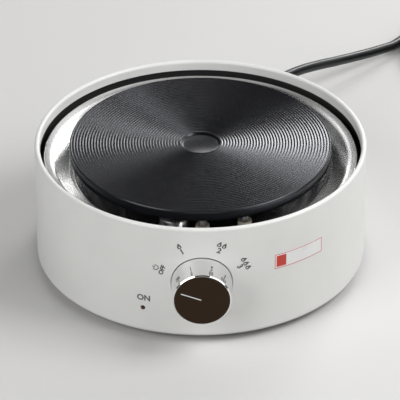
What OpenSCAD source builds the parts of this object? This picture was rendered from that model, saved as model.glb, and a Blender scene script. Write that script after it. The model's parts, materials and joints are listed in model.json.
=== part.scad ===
// Portable electric hot plate: a round sheet-steel body, one cast heating plate with turned grooves,
// a polished drip tray round it, a rotary heat switch behind the front knob, and a mains cord.
// Millimetres. The origin is on the table under the body's axis, and the knob faces -Y.

/* [Body] */
// Height of the shell
body_h = 71; // [68:1:84]
// Height of the shell's underside above the table
foot_h = 4; // [3:0.5:8]
// Thickness of the shell's steel sheet
shell_t = 1.2; // [1:0.1:1.4]
// Width of the rolled top rim
rim_w = 3; // [2.9:0.1:4.6]
// Depth of the rim's turned-down inner edge
rim_drop = 6; // [4.5:0.5:7]
// Centre-line radius of the shell's bottom bend
bottom_bend = 2; // [1.5:0.1:3]
// Width of the shell's turned-in bottom flange
flange_w = 13; // [12:0.5:14]

/* [Heating plate] */
// Diameter of the cast plate, from which the tray and the body are set out
plate_d = 150; // [142:1:180]
// Width of the open moat between the plate and the tray's lip
moat_w = 10.4; // [7:0.1:13]
// Depth of the plate's face below the rim
plate_drop = 1; // [0:0.1:2]
// Height of the plate's visible edge
plate_edge_h = 6; // [5:0.5:7]
// Thickness of the plate inside its edge
plate_t = 4.5; // [4:0.1:5]
// Width of the thicker edge
plate_skirt_w = 6; // [5:0.5:6.5]
// Chamfer on the plate's top edge
plate_chamfer = 0.9; // [0.5:0.1:1.4]
// Number of turned grooves
groove_count = 37; // [24:1:42]
// Depth of a groove
groove_depth = 0.35; // [0.2:0.05:0.5]
// Diameter of the centre recess
recess_d = 22.7; // [18:0.1:28]
// Depth of the centre recess
recess_depth = 1.2; // [0.6:0.1:1.6]
// Diameter of the boss under the plate
boss_d = 22; // [18:0.5:26]
// Height of the boss under the plate
boss_h = 7.5; // [6:0.5:8.5]

/* [Heating element] */
// Distance of the element's ring from the plate's edge
element_in = 14; // [13.5:0.5:17]
// Diameter of the sheathed element
element_d = 4.5; // [4:0.1:4.8]
// Bend radius where the ring turns down into its legs
element_bend = 6; // [5:0.5:7]
// How far the tube sits in the plate's underside
element_seat = 1.2; // [0.8:0.1:1.4]
// Bearing of the ring's left end from the front
element_from = -5; // [-6:0.5:-3]
// Bearing of the ring's right end from the front
element_to = 29; // [27:0.5:32]
// Length of a leg under the tray's floor
leg_below = 8; // [6:0.5:9]
// Diameter of a ceramic bush's stem
bush_d = 6.4; // [6.2:0.1:7]
// Diameter of a ceramic bush's flange
bush_flange_d = 7.8; // [7.6:0.1:8.6]
// Height of a ceramic bush's flange
bush_flange_h = 1.5; // [1:0.1:2.5]
// Length of a ceramic bush's stem
bush_stem = 5; // [4:0.5:6]

/* [Drip tray] */
// Thickness of the tray's steel
tray_t = 0.7; // [0.5:0.1:0.9]
// Air gap between the rim and the tray's lip
rim_gap = 1.8; // [1.5:0.1:3]
// Width of the tray's lip
lip_w = 4.8; // [3.8:0.1:5.6]
// Depth of the lip's crest below the rim
lip_drop = 8; // [7.5:0.1:9]
// Fall of the lip towards the dish
lip_fall = 1; // [0.4:0.1:1.4]
// Height of the lip's turned-down edge
lip_turn = 2.2; // [2:0.1:3]
// Depth of the tray's floor below the lip's crest
tray_depth = 11.5; // [10.5:0.1:12.5]
// Width of the sloping dish inside the lip
dish_w = 9.9; // [8.5:0.1:12]
// Fall of the dish from the lip to its inner edge
dish_fall = 6.1; // [4.5:0.1:7]
// How far the step under the dish's inner edge leans inwards
step_lean = 2.5; // [2:0.1:3]
// Centre-line radius of the dish's inner edge and of the step's foot
step_bend = 3; // [2:0.1:3.5]

/* [Supports under the plate] */
// Diameter of the clamping stud
stud_d = 6; // [5:0.5:6]
// Outside diameter of the sleeve round the stud
sleeve_d = 14; // [12:0.5:16]
// Diameter of a spacer post
post_d = 3.3; // [3:0.1:3.6]
// Number of spacer posts
post_count = 3; // [3:1:5]
// Distance of the spacer posts inside the element's ring
post_in = 10; // [7:0.5:14]
// Thickness of the ceramic-fibre pad
pad_t = 6; // [4:0.5:7]
// Room between the pad and the heat shield's edge
pad_room = 5.3; // [3:0.1:12]
// Thickness of the heat shield
shield_t = 0.7; // [0.5:0.1:1]
// Room between the heat shield and the cut-out
shield_clear = 2.5; // [1:0.1:6]
// Height of the heat shield's turned-up edge
shield_edge = 3.2; // [3:0.1:3.6]
// Thickness of the support bracket's steel
bracket_t = 1.5; // [1.2:0.1:2]
// Width of the support bracket
bracket_w = 26; // [22:1:30]
// Distance of the bracket's legs inside the heat shield's edge
bracket_in = 2; // [1:0.5:8]
// Length of each of the bracket's feet
bracket_foot = 17; // [15:0.5:19]
// Size of the stud's nut across its flats
nut_flats = 10; // [9:0.5:11]
// Thickness of the stud's nut
nut_h = 5; // [4:0.5:6]
// Thickness of the stud's washer
washer_t = 1.2; // [1:0.1:1.6]
// Diameter of the stud's washer
washer_d = 14; // [12:0.5:16]

/* [Thermal cut-out] */
// Diameter of the cut-out's aluminium cap
cutout_d = 17; // [16:0.1:17.4]
// Height of the cap above the tray's floor
cutout_h = 7; // [6:0.1:7.6]
// Diameter of the cut-out's moulded body
cutout_body_d = 15; // [14:0.1:15]
// Length of the body under the cap
cutout_body_h = 9; // [8:0.5:10]
// Bearing of the cut-out from the front
cutout_bearing = -14.5; // [-16:0.5:-14]
// Distance of the cut-out's middle from the plate's edge
cutout_in = 13; // [12:0.5:14]
// Distance between the cut-out's two blades
cutout_pitch = 8; // [7:0.1:8.6]

/* [Switch and knob] */
// Width of the switch body
switch_w = 34; // [30:0.5:36]
// Height of the switch body
switch_h = 29; // [27:0.5:30]
// Depth of the switch body
switch_depth = 21.8; // [18:0.2:23]
// Room between the switch and the tray
switch_clear = 0.8; // [0.5:0.1:2]
// Diameter of the switch shaft
shaft_d = 6; // [5:0.5:6.5]
// Depth of the flat on the shaft
shaft_flat = 0.9; // [0.6:0.1:1.2]
// Diameter of the switch's bush in the shell
switch_bush_d = 9.6; // [9:0.1:11]
// Distance between the switch's two fixing screws
switch_screw_pitch = 22; // [21:0.5:23]
// Diameter of the knob at its face
knob_d = 32.4; // [31.6:0.1:34]
// How far the knob's side widens towards the shell
knob_draft = 0.8; // [0.4:0.1:1.2]
// Distance of the knob's face from the shell's front
knob_out = 16.5; // [14:0.5:21]
// Wall of the knob's metal cap
knob_wall = 1.2; // [1:0.1:1.3]
// Thickness of the cap's front
knob_front = 1.5; // [1.2:0.1:2]
// Bevel round the knob's face
knob_bevel = 0.5; // [0.3:0.05:0.6]
// Width of the bright flat edge round the dark face
face_edge = 0.2; // [0.1:0.05:0.6]
// Thickness of the dark face
face_t = 0.5; // [0.4:0.05:0.6]
// Length of the white pointer
pointer_len = 12; // [10:0.1:13.5]
// Distance of the white pointer's inner end from the knob's axis
pointer_from = 0.4; // [0:0.1:1]
// Width of the white pointer
pointer_w = 0.6; // [0.5:0.05:1.2]
// Depth of the white pointer's inlay
pointer_t = 0.25; // [0.15:0.05:0.3]
// Angle of the pointer when the switch is off, from the viewer's right
pointer_angle = 160; // [150:1:170]
// Gap round the knob in its pressed well
well_gap = 0.4; // [0.3:0.1:1.5]
// Depth of the pressed well behind the shell's front
well_depth = 2; // [1.9:0.05:2.4]
// Gap between the knob and the well's floor
knob_lift = 0.6; // [0.4:0.1:1]
// Diameter of the knob's hub
hub_d = 12; // [11:0.5:13]
// Thickness of the web that joins the hub to the cap
knob_web = 4; // [3:0.5:5]

/* [Indicator] */
// Diameter of the indicator lens
lens_d = 2.6; // [2.2:0.1:3.6]
// Bearing of the indicator from the front
lens_bearing = -20.2; // [-24:0.1:-19]
// Height of the indicator above the shell's underside
lens_up = 16.2; // [14:0.1:20]
// How far the lens stands out of the shell
lens_out = 0.5; // [0.3:0.1:0.8]
// Diameter of the lens's inner flange
lens_flange_d = 5.2; // [4.8:0.1:6]
// Thickness of the lens's inner flange
lens_flange_t = 1; // [0.8:0.1:1.4]
// Diameter of the lamp
lamp_d = 4.4; // [4:0.1:4.6]
// Length of the lamp
lamp_len = 10; // [8:0.5:12]

/* [Base] */
// Thickness of the base plate
base_t = 1.2; // [1:0.1:1.5]
// Distance of the base plate's edge inside the shell
base_inset = 5; // [4:0.5:7]
// Number of vent slots in the base plate
vent_count = 16; // [12:2:20]
// Length of a vent slot
vent_len = 20; // [14:1:22]
// Width of a vent slot
vent_w = 3.5; // [2.5:0.1:4]
// Radius of the vent slots' middle
vent_r = 26; // [25:0.5:28]
// Distance of a rubber foot's middle inside the shell
foot_in = 23; // [22:0.5:27]
// Diameter of a rubber foot
foot_d = 16; // [14:0.5:18]
// Diameter of a foot's stem
foot_stem_d = 5.8; // [5:0.1:6.4]

/* [Fasteners] */
// Diameter of the base screws and the switch screws
small_screw_d = 2.9; // [2.6:0.1:3]
// Head diameter of the base screws and the switch screws
small_head_d = 5.4; // [5:0.1:5.6]
// Head height of all the screws
head_h = 1.6; // [1.4:0.1:1.8]
// Diameter of the bracket screws
bracket_screw_d = 4; // [3.5:0.5:4]
// Head diameter of the bracket screws
bracket_head_d = 7; // [6.5:0.1:7.4]
// Distance between a bracket foot's two screws
bracket_screw_pitch = 14; // [12:0.5:14]
// Size of a bracket nut across its flats
bracket_nut_flats = 7; // [6.5:0.1:7.4]
// Thickness of a bracket nut
bracket_nut_h = 3.2; // [2.8:0.1:3.6]

/* [Wiring] */
// Width of a blade terminal
blade_w = 6.3; // [4.8:0.1:6.3]
// Thickness of a blade terminal
blade_t = 0.8; // [0.6:0.1:1]
// Length of a blade terminal
blade_len = 8; // [7:0.5:9]
// Diameter of an insulated wire
wire_d = 2.4; // [2:0.1:2.6]
// Length of the terminal block
block_len = 32; // [30:0.5:34]
// Depth of the terminal block
block_depth = 16; // [14:0.5:17]
// Height of the terminal block
block_h = 18; // [16:0.5:20]
// Distance between the block's poles
block_pitch = 10; // [9:0.1:10]
// Distance of the block from the body's axis, along X
block_x = 18; // [16:0.5:19]
// Length of the cores between the cord's end and the block
core_run = 11; // [9:0.5:14]

/* [Cord] */
// Diameter of the mains cord
cord_d = 6.2; // [6:0.1:6.4]
// Bearing of the cord's exit from the front
exit_bearing = 165; // [160:0.5:168]
// Height of the cord's exit above the shell's underside
exit_up = 20; // [17:0.5:24]
// Length of the strain relief outside the shell
relief_len = 21; // [18:0.5:24]
// Diameter of the strain relief at the shell
relief_d = 12.4; // [11:0.1:13]
// Diameter of the strain relief at its tip
relief_tip_d = 7.8; // [7.4:0.1:8.4]
// Diameter of the strain relief's neck in the shell
relief_neck_d = 10.8; // [9.6:0.1:11]
// Diameter of the strain relief's two collars
relief_collar_d = 14.6; // [13.6:0.1:15]
// Number of rings cut round the strain relief
relief_rings = 5; // [4:1:6]
// Room between the clamp and the shell's bottom flange
clamp_clear = 3.5; // [2.5:0.1:6]
// Thickness of the clamp along the cord
clamp_t = 7; // [6:0.5:8]
// Width of the clamp
clamp_w = 17; // [16:0.5:18]
// Height of the clamp's cap
clamp_cap_h = 6; // [5.5:0.5:7]
// Distance between the clamp's two screws
clamp_pitch = 11.6; // [11:0.1:12]
// Number of turns in the coil
coil_turns = 4.25; // [4.25:1:6.25]
// Centre-line radius of the coil's outer turn
coil_r = 41.2; // [40:0.1:44]
// Step from turn to turn and from layer to layer
coil_step = 6.9; // [6.7:0.1:7]
// Width of the tie round the coil
tie_w = 9; // [7:0.5:11]
// Thickness of the tie
tie_t = 0.6; // [0.4:0.1:0.8]

/* [Plug] */
// Width of the plug's body
plug_w = 34; // [32:0.5:36]
// Height of the plug's body
plug_h = 28; // [26:0.5:30]
// Length of the plug's body
plug_len = 36; // [34:0.5:40]
// Length of the plug's strain relief
plug_relief = 16; // [14:0.5:20]
// Width of a plug pin
pin_w = 6.3; // [6:0.1:6.4]
// Thickness of a plug pin
pin_t = 1.6; // [1.4:0.1:1.7]
// Length of the two slanted pins
pin_len = 18; // [16:0.5:20]
// Length of the upright pin
earth_pin_len = 21; // [19:0.5:23]

/* [Hidden] */
$fn = 96;
// Running clearance of the shaft in its bush, on the radius
run_gap = 0.05;
// Clearance of a fixed fit, on the radius
fit_gap = 0.1;
// Clearance round a screw or a stud, on the radius
hole_gap = 0.2;
// Gap at a seat on a curved wall, and between the cord and its strain relief
seat_gap = 0.05;
// Overshoot of a cut past the face it opens
past = 1;
// Depth of the small screws past their heads
screw_depth = 8;
// Length of a screw or a stud past its nut
thread_out = 1;
// Distance of a bracket screw from the end of its foot
foot_margin = 7;
// Distance of the shaft's tip from the knob's front
shaft_short = 5;
// Start of the shaft's flat in front of the well
flat_up = 3;
// Depth of the shaft's end in the switch, short of its back
shaft_stop = 5;
// Place of the switch's blades: below its axis, and apart
tab_drop = 11.5;
tab_pitch = 11;
// Thickness of the strain relief's inner collar
inner_collar_t = 5;
// Length of cord past the clamp
cord_past_clamp = 4;
// Land between the centre recess and the first groove
recess_land = 0.6;
// Depth of a terminal screw's well in its block
screw_well = 4;
// Bend of thin sheet at an edge
edge_bend = 1.5;
// Steps in a quarter of a sheet bend
bend_steps = 8;
// Straight length at each end of a wire
wire_straight = 2;
// Reach of each wire's bend at its two ends
live_reach = [40, 34];
neutral_reach = [40, 12];
element_reach = [14, 14];
cutout_reach = [4, 10];
earth_reach = [22, 18];
core_reach = [7, 8];
lamp_switch_reach = [8, 12];
lamp_block_reach = [10, 60];

// Heights from the table
top_z = foot_h + body_h;
base_z = foot_h - base_t;
plate_z = top_z - plate_drop;
web_z = plate_z - plate_t;
boss_z = web_z - boss_h;
lip_z = top_z - lip_drop;
floor_z = lip_z - tray_depth;
under_tray_z = floor_z - tray_t;
pad_z = under_tray_z - pad_t;
shield_z = pad_z - shield_t;
bracket_z = shield_z - bracket_t;
washer_z = bracket_z - washer_t;
nut_z = washer_z - nut_h;
stud_end_z = nut_z - thread_out;
bracket_screw_tip_z = foot_h + bracket_t + bracket_nut_h + thread_out;
element_z = web_z - element_d / 2 + element_seat;
leg_end_z = under_tray_z - leg_below;
knob_z = under_tray_z - switch_clear - switch_h / 2;
lens_z = foot_h + lens_up;
exit_z = foot_h + exit_up;

// Radii from the body's axis
plate_r = plate_d / 2;
lip_r = plate_r + moat_w + lip_w;
rim_r = lip_r + rim_gap;
body_r = rim_r + rim_w;
inner_r = body_r - shell_t;
flange_r = body_r - flange_w;
base_r = body_r - base_inset;
foot_ring_r = body_r - foot_in;
element_r = plate_r - element_in;
cutout_r = plate_r - cutout_in;
shield_r = cutout_r - cutout_body_d / 2 - shield_clear;
pad_r = shield_r - shield_t - pad_room;
bracket_x = shield_r - bracket_in;
post_r = element_r - post_in;
stud_hole_r = stud_d / 2 + hole_gap;
base_screw_r = (base_r + flange_r) / 2;
leg_r = norm([element_r, element_bend]);
leg_turn = atan(element_bend / element_r);
leg_bearings = [element_from + leg_turn, element_to - leg_turn];
bracket_screw_x = bracket_x + bracket_foot - foot_margin;

// Distances out from the body's axis along the knob's axis
well_u = body_r - well_depth;
switch_u = well_u - shell_t;
switch_back_u = switch_u - switch_depth;
face_u = body_r + knob_out;
knob_back_u = well_u + knob_lift;
cap_floor_u = face_u - knob_front;
shaft_tip_u = cap_floor_u - shaft_short;
flat_from_u = well_u + flat_up;
knob_back_r = knob_d / 2 + knob_draft;
well_r = knob_back_r + well_gap;
face_r = knob_d / 2 - knob_bevel - face_edge - run_gap;
tab_xs = [-tab_pitch, 0, tab_pitch];
tab_end_y = -switch_back_u + blade_len;

// Distances out from the body's axis along the indicator's axis
lens_seat_u = sqrt(inner_r * inner_r - lens_flange_d * lens_flange_d / 4) - seat_gap;
lamp_u = lens_seat_u - lens_flange_t;

// Distances out from the body's axis along the cord's exit
relief_u = body_r + seat_gap;
relief_tip_u = body_r + relief_len;
collar_u = sqrt(inner_r * inner_r - relief_collar_d * relief_collar_d / 4) - seat_gap;
relief_in_u = collar_u - inner_collar_t;
clamp_u = flange_r - clamp_t / 2 - clamp_clear;
cord_end_u = clamp_u - clamp_t / 2 - cord_past_clamp;
block_y = -cord_end_u * cos(exit_bearing) - core_run - block_depth / 2;

// Middle of the coil, and the heights of its two layers
coil_x = 177;
coil_y = 228;
coil_z = 4.1;
coil_top_z = coil_z + coil_step;
// Route of the free cord from the strain relief to the coil, over the table
lead_points = [
    bearing_point(relief_tip_u + seat_gap, exit_bearing, exit_z),
    bearing_point(relief_tip_u + cord_d, exit_bearing, exit_z),
    [35.5, 131.5, 24.2], [40.5, 143.5, 24.2], [47, 155, 23.9], [55.5, 166, 22.9], [64.5, 176, 21.2],
    [75, 185.8, 18.8], [86, 195.2, 16.1], [97, 205.3, 13.2], [107.5, 215, 10.6],
    [117, 224.5, 8.2], [125.5, 233.8, 5.9], [132.5, 245, 4.2], [141, 256.5, 3.6], [153, 265.8, 3.8],
    [coil_x - 2 * cord_d, coil_y + coil_r, coil_z],
    [coil_x - cord_d, coil_y + coil_r, coil_z]
];
// Route of the cord from the coil to the plug
tail_points = [
    [coil_x + coil_r, coil_y - cord_d, coil_top_z], [coil_x + coil_r, 212, coil_top_z],
    [217.5, 202, 11.5], [216, 192, 12.7], [214.5, 182, 13.6],
    [214, 174, plug_h / 2], [214, 168, plug_h / 2]
];
tail_end = tail_points[len(tail_points) - 1];
coil_ring_steps = 24;

// Small vector helpers
function unit(v) = v / norm(v);
function perp(v) = [-v.y, v.x];
function turned(v, a) = [v.x * cos(a) - v.y * sin(a), v.x * sin(a) + v.y * cos(a)];
function bearing_point(r, b, z) = [r * sin(b), -r * cos(b), z];

// Samples round the corner b of a path a-b-c, each a point and its normal
function bend(a, b, c, r) =
    let (
        d1 = unit(b - a),
        d2 = unit(c - b),
        turn = atan2(d1.x * d2.y - d1.y * d2.x, d1 * d2),
        side = sign(turn),
        reach = r * tan(abs(turn) / 2),
        middle = b - reach * d1 + side * r * perp(d1)
    )
    [for (i = [0:bend_steps])
        let (n = turned(perp(d1), turn * i / bend_steps))
        [middle - side * r * n, n]];

// Outline of a bent sheet of thickness t along a centre line with rounded corners
function sheet(path, radii, t) =
    let (
        last = len(path) - 1,
        start = [[path[0], perp(unit(path[1] - path[0]))]],
        end = [[path[last], perp(unit(path[last] - path[last - 1]))]],
        corners = [for (i = [1:last - 1]) each bend(path[i - 1], path[i], path[i + 1], radii[i - 1])],
        line = concat(start, corners, end)
    )
    concat(
        [for (q = line) q[0] + q[1] * t / 2],
        [for (i = [len(line) - 1:-1:0]) line[i][0] - line[i][1] * t / 2]
    );

// Closed outline with its corners rounded
function rounded_outline(points, radii) =
    let (n = len(points))
    [for (i = [0:n - 1])
        each [for (q = bend(points[(i + n - 1) % n], points[i], points[(i + 1) % n], radii[i])) q[0]]];

// Points on a cubic curve that leaves a along da and arrives at b from db, straight at both ends
function wire_route(a, da, b, db, steps = 10) =
    let (
        p = a + wire_straight * unit(da),
        q = b + wire_straight * unit(db)
    )
    concat(
        [a],
        [for (i = [0:steps])
            let (t = i / steps, s = 1 - t)
            s * s * s * p + 3 * s * s * t * (p + da) + 3 * s * t * t * (q + db) + t * t * t * q],
        [b]
    );

// Directions along a route, and one side vector for each, carried along without twist
function headings(p) =
    let (last = len(p) - 1)
    [for (i = [0:last]) unit(p[min(i + 1, last)] - p[max(i - 1, 0)])];
function square_to(v, t) = unit(v - (v * t) * t);
function sides_of(t) =
    let (first = abs(t[0].z) > 0.9 ? [1, 0, 0] : [0, 0, 1])
    [for (i = 0, n = square_to(first, t[0]); i < len(t);
        i = i + 1, n = i < len(t) ? square_to(n, t[i]) : n) n];

// Solid round tube along a route
module tube(route, d, sides = 8) {
    t = headings(route);
    n = sides_of(t);
    rings = len(route);
    points = [for (i = [0:rings - 1])
        for (j = [0:sides - 1])
            let (a = 360 * j / sides)
            route[i] + d / 2 * (cos(a) * n[i] + sin(a) * cross(t[i], n[i]))];
    walls = [for (i = [0:rings - 2])
        for (j = [0:sides - 1])
            let (a = i * sides + j, b = i * sides + (j + 1) % sides)
            each [[a, b + sides, b], [a, a + sides, b + sides]]];
    start = [for (j = [1:sides - 2]) [0, j, j + 1]];
    far = (rings - 1) * sides;
    end = [for (j = [1:sides - 2]) [far, far + j + 1, far + j]];
    polyhedron(points = points, faces = concat(walls, start, end), convexity = 8);
}

// Places its children on the wall at a bearing from the front: local Z runs out, local Y up
module on_wall(bearing, height) {
    translate([0, 0, height]) rotate([0, 0, bearing]) rotate([90, 0, 0]) children();
}

// Copies its children at equal steps round the body's axis
module ring_of(count, radius, from = 0) {
    for (i = [0:count - 1]) rotate([0, 0, from + i * 360 / count]) translate([radius, 0, 0]) children();
}

// Puts its children at the four bracket screws
module at_bracket_screws() {
    for (x = [-1, 1])
        for (y = [-1, 1])
            translate([x * bracket_screw_x, y * bracket_screw_pitch / 2, 0]) children();
}

module rounded_rect(w, h, r) {
    square([w - 2 * r, h], center = true);
    square([w, h - 2 * r], center = true);
    for (x = [-1, 1])
        for (y = [-1, 1])
            translate([x * (w / 2 - r), y * (h / 2 - r)]) circle(r);
}

module slot_shape(length, width) {
    square([length - width, width], center = true);
    for (x = [-1, 1]) translate([x * (length - width) / 2, 0]) circle(width / 2);
}

// Tube with its lower end at z = 0
module sleeve_shape(outer_d, inner_r, h) {
    difference() {
        cylinder(d = outer_d, h = h);
        translate([0, 0, -past]) cylinder(r = inner_r, h = h + 2 * past);
    }
}

// Screw with its head's seat at z = 0, the shank upwards and a cross in its head
module pan_screw(d, head_d, length) {
    cross_depth = head_h / 2;
    difference() {
        union() {
            cylinder(d = d, h = length);
            translate([0, 0, -head_h]) cylinder(d1 = head_d - head_h / 2, d2 = head_d, h = head_h);
        }
        for (a = [0, 90])
            rotate([0, 0, a]) translate([0, 0, -head_h])
                cube([head_d * 0.6, d / 4, 2 * cross_depth], center = true);
    }
}

module hex_nut(flats, bore_r, h) {
    difference() {
        cylinder(r = flats / 2 / cos(30), h = h, $fn = 6);
        translate([0, 0, -past]) cylinder(r = bore_r, h = h + 2 * past);
    }
}

// White shell: a rolled rim, a straight wall, a turned-in flange and a pressed well for the knob
module shell_of_revolution() {
    hem_x = rim_r + shell_t / 2;
    wall_x = body_r - shell_t / 2;
    hem_bend = (rim_w - shell_t) / 2;
    rotate_extrude()
        polygon(sheet(
            [[hem_x, top_z - rim_drop], [hem_x, top_z - shell_t / 2], [wall_x, top_z - shell_t / 2],
                [wall_x, foot_h + shell_t / 2], [flange_r, foot_h + shell_t / 2]],
            [hem_bend, hem_bend, bottom_bend], shell_t));
}

module knob_well() {
    intersection() {
        difference() {
            on_wall(0, knob_z) translate([0, 0, switch_u])
                cylinder(r = well_r + shell_t, h = well_depth + 2 * shell_t);
            on_wall(0, knob_z) translate([0, 0, well_u])
                cylinder(r = well_r, h = well_depth + 4 * shell_t);
        }
        cylinder(r = body_r, h = top_z);
    }
}

module body_shell() {
    color("whitesmoke")
        difference() {
            union() {
                difference() {
                    shell_of_revolution();
                    on_wall(0, knob_z) translate([0, 0, well_u - shell_t / 2])
                        cylinder(r = well_r, h = body_r);
                }
                knob_well();
            }
            on_wall(0, knob_z) {
                translate([0, 0, switch_u - past])
                    cylinder(d = switch_bush_d + 2 * hole_gap, h = 3 * shell_t);
                for (x = [-1, 1])
                    translate([x * switch_screw_pitch / 2, 0, switch_u - past])
                        cylinder(d = small_screw_d + 2 * hole_gap, h = 3 * shell_t);
            }
            on_wall(lens_bearing, lens_z) cylinder(d = lens_d + 2 * fit_gap, h = body_r + past);
            on_wall(exit_bearing, exit_z) cylinder(d = relief_neck_d + 2 * fit_gap, h = body_r + past);
            ring_of(4, base_screw_r) translate([0, 0, foot_h - past])
                cylinder(d = small_screw_d + 2 * fit_gap, h = shell_t + 2 * past);
        }
}

// Bottom cover, with radial vents and a hole for each fixing
module base_plate() {
    color("dimgray")
        difference() {
            translate([0, 0, base_z]) linear_extrude(base_t)
                difference() {
                    circle(r = base_r);
                    ring_of(vent_count, vent_r) slot_shape(vent_len, vent_w);
                    ring_of(4, foot_ring_r, 45) circle(d = foot_stem_d + 2 * fit_gap);
                    ring_of(4, base_screw_r) circle(d = small_screw_d + 2 * hole_gap);
                    at_bracket_screws() circle(d = bracket_screw_d + 2 * hole_gap);
                    translate([block_x, block_y]) circle(d = small_screw_d + 2 * hole_gap);
                    rotate(exit_bearing) translate([0, -clamp_u]) circle(d = small_screw_d + 2 * hole_gap);
                }
        }
}

// Push-in rubber feet, each with a barb above the base plate
module rubber_feet() {
    stem_r = foot_stem_d / 2;
    barb_h = 2.4;
    barb_w = 0.8;
    edge = 0.8;
    color("black")
        ring_of(4, foot_ring_r, 45)
            rotate_extrude()
                polygon([[0, 0], [foot_d / 2 - edge, 0], [foot_d / 2, edge], [foot_d / 2 - edge, base_z],
                    [stem_r, base_z], [stem_r, foot_h + fit_gap], [stem_r + barb_w, foot_h + fit_gap],
                    [stem_r - barb_w, foot_h + barb_h], [0, foot_h + barb_h]]);
}

// Screws from below: four hold the shell's flange, one the terminal block and one the cord clamp
module base_screws() {
    color("silver") {
        ring_of(4, base_screw_r) translate([0, 0, base_z])
            pan_screw(small_screw_d, small_head_d, screw_depth);
        translate([block_x, block_y, base_z]) pan_screw(small_screw_d, small_head_d, screw_depth);
        translate(bearing_point(clamp_u, exit_bearing, base_z))
            pan_screw(small_screw_d, small_head_d, screw_depth);
    }
}

// Polished drip tray: a lip, a sloping dish inside it, a step and a flat floor under the plate
module drip_tray() {
    edge_x = lip_r - tray_t / 2;
    dish_x = lip_r - lip_w;
    dish_top = lip_z - lip_fall - tray_t / 2;
    step_x = dish_x - dish_w;
    floor_mid = floor_z - tray_t / 2;
    color("lightgray")
        difference() {
            rotate_extrude()
                polygon(sheet(
                    [[edge_x, lip_z - lip_turn], [edge_x, lip_z - tray_t / 2],
                        [dish_x, dish_top], [step_x, dish_top - dish_fall],
                        [step_x - step_lean, floor_mid], [stud_hole_r, floor_mid]],
                    [0.8, 1.2, step_bend, step_bend], tray_t));
            for (b = leg_bearings)
                translate(bearing_point(leg_r, b, under_tray_z - past))
                    cylinder(d = bush_d + 2 * fit_gap, h = tray_t + 2 * past);
            translate(bearing_point(cutout_r, cutout_bearing, under_tray_z - past))
                cylinder(d = cutout_body_d + 2 * fit_gap, h = tray_t + 2 * past);
        }
}

// Cast plate: turned grooves and a centre recess on top, a skirt, a boss and the element's seat below
module heating_plate() {
    groove_from = recess_d / 2 + recess_land;
    pitch = (plate_r - plate_chamfer - groove_from) / groove_count;
    grooves = [for (i = [0:groove_count - 1])
        let (r = groove_from + i * pitch)
        each [[r + 0.2 * pitch, plate_z], [r + 0.4 * pitch, plate_z - groove_depth],
            [r + 0.6 * pitch, plate_z - groove_depth], [r + 0.8 * pitch, plate_z]]];
    face = concat(
        [[0, plate_z - recess_depth], [recess_d / 2 - recess_depth, plate_z - recess_depth],
            [recess_d / 2, plate_z]],
        grooves);
    edge = [[plate_r - plate_chamfer, plate_z], [plate_r, plate_z - plate_chamfer],
        [plate_r, plate_z - plate_edge_h], [plate_r - plate_skirt_w, plate_z - plate_edge_h],
        [plate_r - plate_skirt_w, web_z]];
    boss = [[boss_d / 2, web_z], [boss_d / 2, boss_z], [0, boss_z]];
    color("darkslategray")
        difference() {
            rotate_extrude() polygon(concat(face, edge, boss));
            translate([0, 0, element_z]) rotate_extrude()
                translate([element_r, 0]) circle(d = element_d + 2 * fit_gap);
            translate([0, 0, boss_z - past]) cylinder(d = stud_d + 2 * fit_gap, h = boss_h + past);
        }
}

// Lower end of the element's left leg, 0, or right leg, 1
function leg_end(i) = bearing_point(leg_r, leg_bearings[i], leg_end_z);

// Point on the bend at one end of the element's ring: 0 is on the ring, 90 at the top of the leg
function element_bend_point(bearing, side, a) =
    bearing_point(element_r, bearing, element_z)
        + side * element_bend * sin(a) * [cos(bearing), sin(bearing), 0]
        - [0, 0, element_bend * (1 - cos(a))];

// Sheathed heating element: a ring under the plate whose two ends turn down through the tray
module heating_element() {
    bend_step = 15;
    ring_steps = 60;
    sweep = 360 - element_to + element_from;
    right_leg = [for (a = [90:-bend_step:bend_step]) element_bend_point(element_to, -1, a)];
    ring = [for (i = [0:ring_steps])
        bearing_point(element_r, element_to + sweep * i / ring_steps, element_z)];
    left_leg = [for (a = [bend_step:bend_step:90]) element_bend_point(element_from, 1, a)];
    from = leg_end(1);
    to = leg_end(0);
    color("slategray") tube(concat([from], right_leg, ring, left_leg, [to]), element_d, 12);
}

// Ceramic bushes round the legs in the tray's floor
module element_bushes() {
    color("antiquewhite")
        for (b = leg_bearings)
            translate(bearing_point(leg_r, b, floor_z))
                difference() {
                    union() {
                        cylinder(d = bush_flange_d, h = bush_flange_h);
                        translate([0, 0, -bush_stem]) cylinder(d = bush_d, h = bush_stem);
                    }
                    translate([0, 0, -bush_stem - past])
                        cylinder(d = element_d + 2 * fit_gap, h = bush_stem + bush_flange_h + 2 * past);
                }
}

// Posts that space the plate off the tray
module plate_posts() {
    color("lightgray")
        ring_of(post_count, post_r, -30) translate([0, 0, floor_z]) cylinder(d = post_d, h = web_z - floor_z);
}

module plate_sleeve() {
    color("gray") translate([0, 0, floor_z]) sleeve_shape(sleeve_d, stud_hole_r, boss_z - floor_z);
}

module plate_stud() {
    color("silver") translate([0, 0, stud_end_z]) cylinder(d = stud_d, h = web_z - stud_end_z);
}

module stud_washer() {
    color("silver") translate([0, 0, washer_z]) sleeve_shape(washer_d, stud_hole_r, washer_t);
}

module stud_nut() {
    color("silver") translate([0, 0, nut_z]) hex_nut(nut_flats, stud_d / 2 + fit_gap, nut_h);
}

// Ceramic-fibre pad between the tray and the heat shield
module insulation_pad() {
    color("ivory") translate([0, 0, pad_z]) sleeve_shape(2 * pad_r, stud_hole_r, pad_t);
}

// Heat shield: a shallow dish on the bracket
module heat_shield() {
    edge_x = shield_r - shield_t / 2;
    mid_z = shield_z + shield_t / 2;
    color("gainsboro")
        rotate_extrude()
            polygon(sheet(
                [[stud_hole_r, mid_z], [edge_x, mid_z], [edge_x, shield_z + shield_edge]],
                [edge_bend], shield_t));
}

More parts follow.
